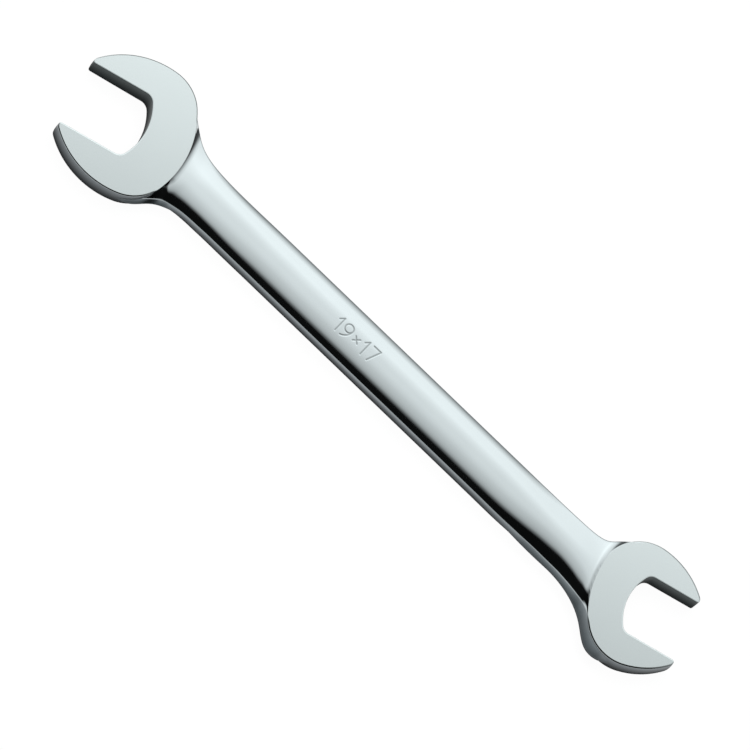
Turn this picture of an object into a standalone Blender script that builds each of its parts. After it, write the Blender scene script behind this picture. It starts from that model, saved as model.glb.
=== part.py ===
"""Open end wrench with a 19 mm jaw and a 17 mm jaw.

The real tool is one forging. It is modelled here as its three regions, which meet face to
face on flat planes across the necks: the large head, the shank and the small head. A head is a
flat plate with a slanted jaw slot, joined to a neck that flares out of the shank.
Units are metres, +X runs from the large head to the small one and +Z is up. The wrench lies
flat with the middle of its underside at the origin.
"""

import math

import bpy
import bmesh
import numpy as np
from mathutils import Matrix, Vector

MM = 0.001

# Driving dimensions of the whole tool
CENTRE_DISTANCE = 178.2 * MM
JAW_ANGLE = math.radians(15.0)
RIM_ROUND = 0.30 * MM

# Shank: a crowned bar with upright sides
SHANK_WIDTH = 15.6 * MM
SHANK_THICKNESS = 5.6 * MM
SHANK_SIDE_HEIGHT = 2.0 * MM
CROWN_EXPONENT = 3.0

# Necks: they leave the heads nearly as thick as these and thin down to the shank
NECK_STEP = 0.2 * MM
NECK_CROWN_EXPONENT = 2.3
NECK_FADE = 3.0
ROOT_INSET = 0.2 * MM
NECK_END = 2.5 * MM

# Large head: near names the side that the head's back leans towards, far the other
LARGE_JAW_GAP = 19.3 * MM
LARGE_NEAR_HALF_WIDTH = 19.25 * MM
LARGE_FAR_HALF_WIDTH = 19.25 * MM
LARGE_HEAD_THICKNESS = 6.5 * MM
LARGE_NEAR_JAW_REACH = 17.6 * MM
LARGE_FAR_JAW_REACH = 18.1 * MM
LARGE_THROAT_REACH = 2.6 * MM
LARGE_THROAT_RADIUS = 17.5 * MM
LARGE_CORNER_RADIUS = 2.9 * MM
LARGE_TIP_RADIUS = 1.9 * MM
LARGE_TIP_INNER_RADIUS = 0.6 * MM
LARGE_BACK_REACH = 15.0 * MM
LARGE_BACK_RADIUS = 26.0 * MM
LARGE_BACK_LEAN = 0.0 * MM
LARGE_SHOULDER_RADIUS = 8.0 * MM
LARGE_SIDE_OFFSET = 0.3 * MM
LARGE_NEAR_ROOT_ANGLE = math.radians(46.0)
LARGE_FAR_ROOT_ANGLE = math.radians(80.0)
LARGE_NEAR_NECK = 25.6 * MM
LARGE_FAR_NECK = 26.9 * MM
LARGE_NEAR_HANDLE_SHARES = (0.34, 0.60)
LARGE_FAR_HANDLE_SHARES = (0.38, 0.62)

# Small head
SMALL_JAW_GAP = 17.4 * MM
SMALL_NEAR_HALF_WIDTH = 17.7 * MM
SMALL_FAR_HALF_WIDTH = 17.15 * MM
SMALL_HEAD_THICKNESS = 6.1 * MM
SMALL_NEAR_JAW_REACH = 16.9 * MM
SMALL_FAR_JAW_REACH = 16.1 * MM
SMALL_THROAT_REACH = 1.2 * MM
SMALL_THROAT_RADIUS = 14.5 * MM
SMALL_CORNER_RADIUS = 2.4 * MM
SMALL_TIP_RADIUS = 1.3 * MM
SMALL_TIP_INNER_RADIUS = 0.7 * MM
SMALL_BACK_REACH = 11.7 * MM
SMALL_BACK_RADIUS = 28.0 * MM
SMALL_BACK_LEAN = 1.7 * MM
SMALL_SHOULDER_RADIUS = 12.0 * MM
SMALL_SIDE_OFFSET = 0.9 * MM
SMALL_NEAR_ROOT_ANGLE = math.radians(70.0)
SMALL_FAR_ROOT_ANGLE = math.radians(76.0)
SMALL_NEAR_NECK = 20.9 * MM
SMALL_FAR_NECK = 27.8 * MM
SMALL_NEAR_HANDLE_SHARES = (0.47, 0.75)
SMALL_FAR_HANDLE_SHARES = (0.45, 0.80)

# How finely round stretches are drawn
ARC_STEP = math.radians(7.5)
CROWN_STEPS = 18
NECK_STATIONS = 14
FLARE_SAMPLES = 80

LARGE = {
    "name": "large_head",
    "gap": LARGE_JAW_GAP,
    "near_half_width": LARGE_NEAR_HALF_WIDTH,
    "far_half_width": LARGE_FAR_HALF_WIDTH,
    "thickness": LARGE_HEAD_THICKNESS,
    "near_jaw_reach": LARGE_NEAR_JAW_REACH,
    "far_jaw_reach": LARGE_FAR_JAW_REACH,
    "throat_reach": LARGE_THROAT_REACH,
    "throat_radius": LARGE_THROAT_RADIUS,
    "corner_radius": LARGE_CORNER_RADIUS,
    "tip_radius": LARGE_TIP_RADIUS,
    "tip_inner_radius": LARGE_TIP_INNER_RADIUS,
    "back_reach": LARGE_BACK_REACH,
    "back_radius": LARGE_BACK_RADIUS,
    "back_lean": LARGE_BACK_LEAN,
    "shoulder_radius": LARGE_SHOULDER_RADIUS,
    "near_root_angle": LARGE_NEAR_ROOT_ANGLE,
    "far_root_angle": LARGE_FAR_ROOT_ANGLE,
    "near_neck": LARGE_NEAR_NECK,
    "far_neck": LARGE_FAR_NECK,
    "near_handle_shares": LARGE_NEAR_HANDLE_SHARES,
    "far_handle_shares": LARGE_FAR_HANDLE_SHARES,
    "side_offset": LARGE_SIDE_OFFSET,
}

SMALL = {
    "name": "small_head",
    "gap": SMALL_JAW_GAP,
    "near_half_width": SMALL_NEAR_HALF_WIDTH,
    "far_half_width": SMALL_FAR_HALF_WIDTH,
    "thickness": SMALL_HEAD_THICKNESS,
    "near_jaw_reach": SMALL_NEAR_JAW_REACH,
    "far_jaw_reach": SMALL_FAR_JAW_REACH,
    "throat_reach": SMALL_THROAT_REACH,
    "throat_radius": SMALL_THROAT_RADIUS,
    "corner_radius": SMALL_CORNER_RADIUS,
    "tip_radius": SMALL_TIP_RADIUS,
    "tip_inner_radius": SMALL_TIP_INNER_RADIUS,
    "back_reach": SMALL_BACK_REACH,
    "back_radius": SMALL_BACK_RADIUS,
    "back_lean": SMALL_BACK_LEAN,
    "shoulder_radius": SMALL_SHOULDER_RADIUS,
    "near_root_angle": SMALL_NEAR_ROOT_ANGLE,
    "far_root_angle": SMALL_FAR_ROOT_ANGLE,
    "near_neck": SMALL_NEAR_NECK,
    "far_neck": SMALL_FAR_NECK,
    "near_handle_shares": SMALL_NEAR_HANDLE_SHARES,
    "far_handle_shares": SMALL_FAR_HANDLE_SHARES,
    "side_offset": -SMALL_SIDE_OFFSET,
}


def clear_scene():
    """Empty the scene of whatever it starts with."""
    for thing in list(bpy.data.objects):
        bpy.data.objects.remove(thing, do_unlink=True)


def arc(centre, radius, start, end):
    """Points along an arc, from the angle start to the angle end, both included."""
    steps = max(2, math.ceil(abs(end - start) / ARC_STEP))
    turn = np.linspace(start, end, steps + 1)
    return np.column_stack((centre[0] + radius * np.cos(turn), centre[1] + radius * np.sin(turn)))


def direction(start, end):
    """The angle of the line from start to end, between 0 and a full turn."""
    return math.atan2(end[1] - start[1], end[0] - start[0]) % (2 * math.pi)


def head_arcs(head, side):
    """Centres and radii of the arcs of one half of a head's outline.

    The head's own axes are u, along the slot towards the mouth, and v, across it. The origin
    is at the head's widest place. The side is 1 for the near half and -1 for the far one,
    which is worked out as if v were above zero there too.
    """
    half_gap = head["gap"] / 2
    half_width = head["near_half_width"] if side > 0 else head["far_half_width"]
    jaw_reach = head["near_jaw_reach"] if side > 0 else head["far_jaw_reach"]
    tip = np.array((jaw_reach - head["tip_radius"], half_gap + head["tip_inner_radius"]))
    rise = half_width - tip[1]
    jaw_radius = tip[0] ** 2 + rise ** 2 - head["tip_radius"] ** 2
    jaw_radius /= 2 * (rise - head["tip_radius"])
    jaw = np.array((0, half_width - jaw_radius))
    back = np.array((head["back_radius"] - head["back_reach"], -side * head["back_lean"]))

    # The shoulder's circle touches the jaw's and the back's from inside
    from_jaw = jaw_radius - head["shoulder_radius"]
    from_back = head["back_radius"] - head["shoulder_radius"]
    line = back - jaw
    apart = np.hypot(*line)
    along = (from_jaw ** 2 - from_back ** 2 + apart ** 2) / (2 * apart)
    aside = math.sqrt(from_jaw ** 2 - along ** 2)
    unit = line / apart
    shoulder = jaw + unit * along + np.array((-unit[1], unit[0])) * aside

    throat = np.array((head["throat_radius"] - head["throat_reach"], 0))
    drop = half_gap - head["corner_radius"]
    reach = math.sqrt((head["throat_radius"] - head["corner_radius"]) ** 2 - drop ** 2)
    corner = np.array((throat[0] - reach, drop))
    return {
        "jaw_reach": jaw_reach,
        "tip": tip,
        "jaw": jaw,
        "jaw_radius": jaw_radius,
        "back": back,
        "shoulder": shoulder,
        "throat": throat,
        "corner": corner,
    }


def half_outline(head, side):
    """One half of a head's outline in its own axes: back, shoulder, jaw, tip and slot."""
    arcs = head_arcs(head, side)
    half_gap = head["gap"] / 2
    inner = (arcs["jaw_reach"] - head["tip_inner_radius"], half_gap + head["tip_inner_radius"])
    back_end = direction(arcs["back"], arcs["shoulder"])
    shoulder_end = direction(arcs["jaw"], arcs["shoulder"])
    jaw_end = direction(arcs["jaw"], arcs["tip"])
    corner_end = direction(arcs["throat"], arcs["corner"])
    quarter = math.pi / 2
    half = np.vstack((
        arc(arcs["back"], head["back_radius"], 2 * quarter, back_end),
        arc(arcs["shoulder"], head["shoulder_radius"], back_end, shoulder_end)[1:],
        arc(arcs["jaw"], arcs["jaw_radius"], shoulder_end, jaw_end)[1:],
        arc(arcs["tip"], head["tip_radius"], jaw_end, 0)[1:],
        arc(inner, head["tip_inner_radius"], 0, -quarter)[1:],
        arc(arcs["corner"], head["corner_radius"], quarter, corner_end),
        arc(arcs["throat"], head["throat_radius"], corner_end, 2 * quarter)[1:],
    ))
    return half * (1, side)


def head_outline(head):
    """The closed outline of a head plate in its own axes: the near half, then the far one."""
    return np.vstack((half_outline(head, 1), half_outline(head, -1)[-2:0:-1]))


def turned(points, head):
    """Points of a head's own axes, placed on the large end of the wrench.

    The mouth looks back along -X, turned by the jaw angle. The near side of the neck is the
    one that the head's back leans towards, at +Y.
    """
    points = np.atleast_2d(points)
    cos, sin = math.cos(JAW_ANGLE), math.sin(JAW_ANGLE)
    x = -points[:, 0] * cos - points[:, 1] * sin
    y = -points[:, 0] * sin + points[:, 1] * cos
    return np.column_stack((x, y + head["side_offset"]))


def flare(head, side):
    """One edge of a neck in plan: a cubic curve from the head's outline to the shank's side.

    It starts a little inside the outline, where that faces the root angle, and leaves along
    it. It ends along the shank. The side is 1 for the near edge and -1 for the far one.
    """
    arcs = head_arcs(head, side)
    angle = head["near_root_angle"] if side > 0 else head["far_root_angle"]
    outward = np.array((-math.cos(angle), math.sin(angle)))
    along = np.array((math.sin(angle), math.cos(angle)))
    shoulder_start = math.pi - direction(arcs["back"], arcs["shoulder"])
    if angle < shoulder_start:
        root = arcs["back"] + (head["back_radius"] - ROOT_INSET) * outward
    else:
        root = arcs["shoulder"] + (head["shoulder_radius"] - ROOT_INSET) * outward
    mirror = np.array((1, side))
    start = turned(root * mirror, head)[0]
    leave = (turned((root - along) * mirror, head) - turned(root * mirror, head))[0]
    reach = head["near_neck"] if side > 0 else head["far_neck"]
    root_share, neck_share = head["near_handle_shares"] if side > 0 else head["far_handle_shares"]
    end = np.array((reach, side * SHANK_WIDTH / 2))
    span = np.hypot(*(end - start))
    first = start + leave * span * root_share
    second = end - np.array((1, 0)) * span * neck_share
    t = np.linspace(0, 1, FLARE_SAMPLES)[:, None]
    s = 1 - t
    return s ** 3 * start + 3 * t * s ** 2 * first + 3 * t ** 2 * s * second + t ** 3 * end


def split_distance(head):
    """How far behind the head's centre its solid ends and the shank begins."""
    return max(head["near_neck"], head["far_neck"]) + NECK_END


def section(near, far, exponent, thickness, side_height):
    """A closed loop round the shank or neck between its two edge points in plan.

    The top is a crown over upright sides: across the width from -1 to 1 its height falls as
    the square root of 1 - |share| ** exponent. The underside mirrors it.
    """
    turn = np.linspace(0, math.pi, CROWN_STEPS + 1)
    across = np.sign(np.cos(turn)) * np.abs(np.cos(turn)) ** (2 / exponent)
    rise = (thickness - side_height) / 2
    height = side_height / 2 + rise * np.sin(turn)
    middle, half = (near + far) / 2, (near - far) / 2
    plan = middle + across[:, None] * half
    top = np.column_stack((plan, height))
    bottom = top[::-1] * (1, 1, -1)
    return np.vstack((top, bottom))


def lofted(name, loops):
    """A closed solid through loops of the same number of points, capped at both ends."""
    mesh = bpy.data.meshes.new(name)
    build = bmesh.new()
    rings = [[build.verts.new(point) for point in loop] for loop in loops]
    count = len(rings[0])
    for ring, following in zip(rings, rings[1:]):
        for i in range(count):
            j = (i + 1) % count
            build.faces.new((ring[i], ring[j], following[j], following[i]))
    build.faces.new(rings[0])
    build.faces.new(rings[-1])
    bmesh.ops.recalc_face_normals(build, faces=build.faces)
    build.to_mesh(mesh)
    build.free()
    return bpy.data.objects.new(name, mesh)


def neck(head):
    """The flared neck of a head, from inside the plate to the flat plane where it ends."""
    near, far = flare(head, 1), flare(head, -1)
    split = split_distance(head)
    root_thickness = head["thickness"] - 2 * NECK_STEP
    root_side = root_thickness - 2 * RIM_ROUND
    loops = []
    for share in np.linspace(0, 1, NECK_STATIONS):
        ends = []
        for edge in (near, far):
            x = edge[0, 0] + (split - edge[0, 0]) * share
            ends.append(np.array((x, np.interp(x, edge[:, 0], edge[:, 1]))))
        fade = (1 - share) ** NECK_FADE
        exponent = CROWN_EXPONENT + (NECK_CROWN_EXPONENT - CROWN_EXPONENT) * (1 - share)
        thickness = SHANK_THICKNESS + (root_thickness - SHANK_THICKNESS) * fade
        side_height = SHANK_SIDE_HEIGHT + (root_side - SHANK_SIDE_HEIGHT) * fade
        loops.append(section(ends[0], ends[1], exponent, thickness, side_height))
    return lofted(head["name"] + "_neck", loops)


def plate(head):
    """The flat plate of a head with its slot and rounded rims, as a closed mesh object."""
    outline = turned(head_outline(head), head)
    curve = bpy.data.curves.new(head["name"], "CURVE")
    curve.dimensions = "2D"
    curve.fill_mode = "BOTH"
    curve.extrude = head["thickness"] / 2 - RIM_ROUND
    curve.bevel_depth = RIM_ROUND
    curve.bevel_resolution = 1
    curve.offset = -RIM_ROUND
    spline = curve.splines.new("POLY")
    spline.points.add(len(outline) - 1)
    for point, (x, y) in zip(spline.points, outline):
        point.co = (x, y, 0, 1)
    spline.use_cyclic_u = True
    thing = bpy.data.objects.new(head["name"] + "_outline", curve)
    bpy.context.scene.collection.objects.link(thing)
    bpy.context.view_layer.update()
    solid = bpy.data.meshes.new_from_object(thing.evaluated_get(bpy.context.evaluated_depsgraph_get()))
    solid.name = head["name"]
    build = bmesh.new()
    build.from_mesh(solid)
    bmesh.ops.remove_doubles(build, verts=build.verts, dist=RIM_ROUND / 100)
    bmesh.ops.recalc_face_normals(build, faces=build.faces)
    build.to_mesh(solid)
    build.free()
    meshed = bpy.data.objects.new(head["name"], solid)
    meshed.matrix_world = thing.matrix_world
    bpy.data.objects.remove(thing, do_unlink=True)
    return meshed


def chrome(name, colour, roughness):
    """A plated steel finish."""
    material = bpy.data.materials.new(name)
    material.use_nodes = True
    shader = material.node_tree.nodes["Principled BSDF"]
    shader.inputs["Base Color"].default_value = (*colour, 1)
    shader.inputs["Metallic"].default_value = 1
    shader.inputs["Roughness"].default_value = roughness
    return material


def make_head(head, parts, cutters, finish):
    """A head plate joined to its neck, with its own finish."""
    solid = plate(head)
    parts.objects.link(solid)
    solid.data.materials.clear()
    solid.data.materials.append(finish)
    flared = neck(head)
    cutters.objects.link(flared)
    flared.hide_render = True
    flared.display_type = "WIRE"
    join = solid.modifiers.new("neck", "BOOLEAN")
    join.operation = "UNION"
    join.solver = "EXACT"
    join.object = flared
    return solid, flared


def make_shank(parts, finish):
    """The plain bar between the two necks, cut square where they end."""
    half = SHANK_WIDTH / 2
    loops = []
    for x in (split_distance(LARGE), CENTRE_DISTANCE - split_distance(SMALL)):
        near, far = np.array((x, half)), np.array((x, -half))
        loops.append(section(near, far, CROWN_EXPONENT, SHANK_THICKNESS, SHANK_SIDE_HEIGHT))
    solid = lofted("shank", loops)
    solid.data.materials.append(finish)
    parts.objects.link(solid)
    return solid


def bounds(solids):
    """Lowest and highest corners of the finished solids in world space."""
    graph = bpy.context.evaluated_depsgraph_get()
    points = []
    for solid in solids:
        ready = solid.evaluated_get(graph)
        points += [ready.matrix_world @ vertex.co for vertex in ready.data.vertices]
    low = Vector([min(point[axis] for point in points) for axis in range(3)])
    high = Vector([max(point[axis] for point in points) for axis in range(3)])
    return low, high


def main():
    clear_scene()
    parts = bpy.data.collections.new("open_end_wrench")
    cutters = bpy.data.collections.new("joined_necks")
    bpy.context.scene.collection.children.link(parts)
    bpy.context.scene.collection.children.link(cutters)

    satin_large = chrome("satin_chrome_large", (0.62, 0.66, 0.66), 0.22)
    satin_small = chrome("satin_chrome_small", (0.62, 0.66, 0.66), 0.22)
    polished = chrome("polished_chrome", (0.66, 0.70, 0.71), 0.08)
    large, large_neck = make_head(LARGE, parts, cutters, satin_large)
    small, small_neck = make_head(SMALL, parts, cutters, satin_small)
    shank = make_shank(parts, polished)

    # The small end is the large end's layout turned half a turn about the vertical
    turn = Matrix.Translation((CENTRE_DISTANCE, 0, 0)) @ Matrix.Rotation(math.pi, 4, "Z")
    small.matrix_world = turn
    small_neck.matrix_world = turn

    # The whole tool hangs from one empty, which stands it on its underside at the origin
    centre = bpy.data.objects.new("wrench_centre", None)
    parts.objects.link(centre)
    for solid in (large, large_neck, small, small_neck, shank):
        solid.parent = centre
    bpy.context.view_layer.update()
    low, high = bounds((large, small, shank))
    middle = (low + high) / 2
    centre.location = (-middle.x, -middle.y, -low.z)
    bpy.context.view_layer.update()


main()
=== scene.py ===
# %% [markdown]
# A double open end wrench lies flat on a pale floor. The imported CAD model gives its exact
# frame: metres, +X from the large head to the small one, +Z up. Everything below is laid
# out in that frame, so that nothing has to be fitted afterwards.

# %% Load the frame
import math

import bmesh
import bpy
import numpy as np
from mathutils import Matrix, Vector


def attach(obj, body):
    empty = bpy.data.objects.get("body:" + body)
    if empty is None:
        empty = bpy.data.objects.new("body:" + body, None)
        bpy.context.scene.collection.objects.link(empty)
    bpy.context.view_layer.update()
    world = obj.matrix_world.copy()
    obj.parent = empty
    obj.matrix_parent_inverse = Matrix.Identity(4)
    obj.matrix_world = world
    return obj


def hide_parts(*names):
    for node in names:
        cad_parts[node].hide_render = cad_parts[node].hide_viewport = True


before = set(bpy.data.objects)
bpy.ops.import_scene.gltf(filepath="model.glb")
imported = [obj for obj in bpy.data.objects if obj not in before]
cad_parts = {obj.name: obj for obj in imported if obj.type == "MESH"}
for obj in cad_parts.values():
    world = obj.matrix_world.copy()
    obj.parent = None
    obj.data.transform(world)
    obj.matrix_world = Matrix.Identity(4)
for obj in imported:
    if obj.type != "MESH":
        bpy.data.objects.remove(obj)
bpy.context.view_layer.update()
MM = 0.001

# %% [markdown]
# The camera stands far off and looks down on the wrench, 24 degrees from straight above,
# rolled so that the wrench runs from the upper left to the lower right. A long lens keeps
# the far and near ends the same scale. The middle of the wrench sits a little right of and
# above the middle of the picture, so the aim point is moved from it by that many pixels.

# %% Camera
TILT = math.radians(24.0)
ROLL = math.radians(43.88)
DISTANCE = 1.95
PIXELS_PER_METRE = 3840.0
PICTURE = 750
MIDDLE_PIXEL = (379.8, 368.4)
MIDDLE = Vector((0.458 * MM, -0.287 * MM, 3.25 * MM))
SENSOR_WIDTH = 36
CLIP_END = 20

right = Vector((math.cos(ROLL), math.sin(ROLL) * math.cos(TILT), math.sin(ROLL) * math.sin(TILT)))
up = Vector((-math.sin(ROLL), math.cos(ROLL) * math.cos(TILT), math.cos(ROLL) * math.sin(TILT)))
back = Vector((0, -math.sin(TILT), math.cos(TILT)))
aim = MIDDLE - right * ((MIDDLE_PIXEL[0] - PICTURE / 2) / PIXELS_PER_METRE)
aim -= up * ((PICTURE / 2 - MIDDLE_PIXEL[1]) / PIXELS_PER_METRE)

camera = bpy.data.objects.new("camera", bpy.data.cameras.new("camera"))
camera.data.sensor_width = SENSOR_WIDTH
camera.data.lens = PIXELS_PER_METRE * DISTANCE * SENSOR_WIDTH / PICTURE
camera.data.clip_end = CLIP_END
turned_axes = Matrix((right, up, back)).transposed().to_4x4()
camera.matrix_world = Matrix.Translation(aim + back * DISTANCE) @ turned_axes
bpy.context.scene.collection.objects.link(camera)
bpy.context.scene.camera = camera
print("lens in mm:", round(camera.data.lens, 1))

# %% [markdown]
# Both heads share one drawing. Its axes are u, along the jaw's slot towards the mouth, and
# v, across it. Side 1 is the half at +v, called the near one below, and side -1 the half at
# -v, the far one. Each half's outline is a chain of arcs that touch: the back, a shoulder,
# the jaw's outer side, the tip, then inside the slot a small round, the straight flat that
# holds the nut, the corner and the throat. The last rows are for the neck: the angle where
# its edge leaves the head, where the edge ends, the handles of its curve, where its grid
# starts, how far across it joins the head, how open its far corner is, and the head's rim.

# %% Dimensions of the two heads
CENTRE_DISTANCE = 178.2 * MM
JAW_ANGLE = math.radians(15.0)
SHANK_WIDTH = 16.0 * MM

LARGE = {
    "name": "large_head", "gap": 19.3 * MM, "thickness": 6.5 * MM,
    "half_width": {1: 19.4 * MM, -1: 19.4 * MM},
    "jaw_reach": {1: 18.0 * MM, -1: 18.2 * MM},
    "throat_reach": 2.6 * MM, "throat_radius": 17.5 * MM, "corner_radius": 2.9 * MM,
    "tip_radius": 1.95 * MM, "tip_inner_radius": 0.6 * MM,
    "back_reach": 15.2 * MM, "back_radius": 29.0 * MM, "back_lean": 0.6 * MM,
    "shoulder_radius": 12.0 * MM, "side_offset": 0.3 * MM,
    "root_angle": {1: math.radians(47.2), -1: math.radians(107.1)},
    "neck": {1: 40.0 * MM, -1: 28.5 * MM},
    "handle_shares": {1: (0.432, 0.774), -1: (0.576, 0.673)},
    "start": {1: 7.0 * MM, -1: 7.5 * MM}, "joined": {1: 12.0 * MM, -1: 8.4 * MM},
    "open_corner": 0.85, "rim": 0.34 * MM,
}
SMALL = {
    "name": "small_head", "gap": 17.4 * MM, "thickness": 6.1 * MM,
    "half_width": {1: 17.75 * MM, -1: 17.3 * MM},
    "jaw_reach": {1: 17.15 * MM, -1: 16.15 * MM},
    "throat_reach": 1.2 * MM, "throat_radius": 14.5 * MM, "corner_radius": 2.4 * MM,
    "tip_radius": 1.65 * MM, "tip_inner_radius": 0.7 * MM,
    "back_reach": 11.35 * MM, "back_radius": 28.0 * MM, "back_lean": 2.1 * MM,
    "shoulder_radius": 12.0 * MM, "side_offset": -0.9 * MM,
    "root_angle": {1: math.radians(109.6), -1: math.radians(80.2)},
    "neck": {1: 24.0 * MM, -1: 40.0 * MM},
    "handle_shares": {1: (0.577, 0.714), -1: (0.480, 0.987)},
    "start": {1: -7.0 * MM, -1: 8.0 * MM}, "joined": {1: 10.6 * MM, -1: 12.0 * MM},
    "open_corner": 0.0, "rim": 0.42 * MM,
}
print("jaw gaps in mm:", LARGE["gap"] / MM, SMALL["gap"] / MM)

# %% [markdown]
# An arc is the simplest curve with a formula: a centre plus a radius times the cosine and
# the sine of a turning angle. The whole outline is made of such arcs, and the straight
# stretches are what is left between them.

# %% Arcs of a head's outline
ARC_STEP = math.radians(1.5)


def arc(centre, radius, start, end):
    """Points centre + radius * (cos, sin) of an angle that runs evenly from start to end."""
    steps = max(2, math.ceil(abs(end - start) / ARC_STEP))
    turn = np.linspace(start, end, steps + 1)
    return np.column_stack((centre[0] + radius * np.cos(turn), centre[1] + radius * np.sin(turn)))


def direction(start, end):
    """The angle of the line from start to end, between 0 and a full turn."""
    return math.atan2(end[1] - start[1], end[0] - start[0]) % (2 * math.pi)


def head_arcs(head, side):
    """Centres and radii of one half's arcs; side is 1 for the near half, -1 for the far one.

    The jaw's circle has its centre on u = 0 and passes outside the tip's circle, touching
    it. The shoulder's circle touches the jaw's and the back's from inside, so its centre is
    where two circles of the differences of their radii cross.
    """
    half_gap, jaw_reach = head["gap"] / 2, head["jaw_reach"][side]
    tip = np.array((jaw_reach - head["tip_radius"], half_gap + head["tip_inner_radius"]))
    rise = head["half_width"][side] - tip[1]
    jaw_radius = tip[0] ** 2 + rise ** 2 - head["tip_radius"] ** 2
    jaw_radius /= 2 * (rise - head["tip_radius"])
    jaw = np.array((0, head["half_width"][side] - jaw_radius))
    back_centre = np.array((head["back_radius"] - head["back_reach"], -side * head["back_lean"]))
    from_jaw = jaw_radius - head["shoulder_radius"]
    from_back = head["back_radius"] - head["shoulder_radius"]
    apart = np.hypot(*(back_centre - jaw))
    along = (from_jaw ** 2 - from_back ** 2 + apart ** 2) / (2 * apart)
    aside = math.sqrt(from_jaw ** 2 - along ** 2)
    unit = (back_centre - jaw) / apart
    shoulder = jaw + unit * along + np.array((-unit[1], unit[0])) * aside
    throat = np.array((head["throat_radius"] - head["throat_reach"], 0))
    drop = half_gap - head["corner_radius"]
    reach = math.sqrt((head["throat_radius"] - head["corner_radius"]) ** 2 - drop ** 2)
    corner = np.array((throat[0] - reach, drop))
    return {"jaw_reach": jaw_reach, "tip": tip, "jaw": jaw, "jaw_radius": jaw_radius,
            "back": back_centre, "shoulder": shoulder, "throat": throat, "corner": corner}


def outer_half(head, side):
    """The outside of one half, from the middle of the back to the front of the tip."""
    arcs = head_arcs(head, side)
    back_end = direction(arcs["back"], arcs["shoulder"])
    shoulder_end = direction(arcs["jaw"], arcs["shoulder"])
    jaw_end = direction(arcs["jaw"], arcs["tip"])
    half = np.vstack((
        arc(arcs["back"], head["back_radius"], math.pi, back_end),
        arc(arcs["shoulder"], head["shoulder_radius"], back_end, shoulder_end)[1:],
        arc(arcs["jaw"], arcs["jaw_radius"], shoulder_end, jaw_end)[1:],
        arc(arcs["tip"], head["tip_radius"], jaw_end, 0)[1:],
    ))
    return half * (1, side)


def inner_half(head, side):
    """The slot's side of one half, from the front of the tip to the middle of the throat."""
    arcs = head_arcs(head, side)
    inner_radius = head["tip_inner_radius"]
    inner = (arcs["jaw_reach"] - inner_radius, head["gap"] / 2 + inner_radius)
    corner_end = direction(arcs["throat"], arcs["corner"])
    half = np.vstack((
        arc(inner, inner_radius, 0, -math.pi / 2),
        arc(arcs["corner"], head["corner_radius"], math.pi / 2, corner_end),
        arc(arcs["throat"], head["throat_radius"], corner_end, math.pi)[1:],
    ))
    return half * (1, side)


def outer_line(head):
    """The whole outside of a head, from the near tip round the back to the far tip."""
    return np.vstack((outer_half(head, 1)[::-1], outer_half(head, -1)[1:]))


# %% [markdown]
# The head's own axes are turned onto the wrench: the slots point away from the shank, slanted
# by 15 degrees. The small end is laid out as the large one and then turned half a turn. The
# shift places the centre of the large head in the frame.

# %% Placing the heads


def turned(points, head):
    """Rotate (u, v) by the jaw angle so that u looks back along -X, and shift it sideways."""
    points = np.atleast_2d(points)
    cos, sin = math.cos(JAW_ANGLE), math.sin(JAW_ANGLE)
    x = -points[:, 0] * cos - points[:, 1] * sin
    y = -points[:, 0] * sin + points[:, 1] * cos
    return np.column_stack((x, y + head["side_offset"]))


def stood(points, head):
    """Points of the head's end layout in the frame; the small end is turned half a turn."""
    if head is SMALL:
        points = points * (-1, -1) + (CENTRE_DISTANCE, 0)
    return points + SHIFT


SHIFT = np.array((-88.642, -0.277)) * MM
MID_PLANE = LARGE["thickness"] / 2
print("centre of the large head in mm:", np.round(SHIFT / MM, 3), "mid-plane", MID_PLANE / MM)

# %% [markdown]
# A curve that is resampled evenly by length wastes points on its straights and starves its
# small rounds. So each step is given a weight: its length, plus some more for every radian
# that the curve turns there. Evenly spaced weights then crowd the points where it bends.

# %% Resampling a curve
TURN_WEIGHT = 3.0 * MM


def resampled(points, count):
    """Count + 1 points along a polyline, evenly spaced in length plus weighted turning."""
    steps = np.diff(points, axis=0)
    length = np.hypot(steps[:, 0], steps[:, 1])
    heading = np.unwrap(np.arctan2(steps[:, 1], steps[:, 0]))
    bend = np.abs(np.diff(heading, prepend=heading[:1], append=heading[-1:]))
    weight = length + TURN_WEIGHT * (bend[:-1] + bend[1:]) / 2
    total = np.concatenate(((0,), np.cumsum(weight)))
    wanted = np.linspace(0, total[-1], count + 1)
    return np.column_stack([np.interp(wanted, total, points[:, axis]) for axis in (0, 1)])


def edge_normals(loop):
    """Unit normals of a closed loop, pointing out of it; its area's sign says which way it runs."""
    following = np.roll(loop, -1, axis=0)
    ahead = following - np.roll(loop, 1, axis=0)
    ahead /= np.hypot(ahead[:, 0], ahead[:, 1])[:, None]
    area = np.sum(loop[:, 0] * following[:, 1] - following[:, 0] * loop[:, 1])
    return np.column_stack((ahead[:, 1], -ahead[:, 0])) * np.sign(area)


# %% [markdown]
# Every piece below is a grid of points that numpy works out, put into a mesh in one go. A
# grid that closes on itself joins its last column to its first. The same helper stores
# numbers per point, which the finishes read later: how worn an edge is, for example.

# %% Mesh from arrays


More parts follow.
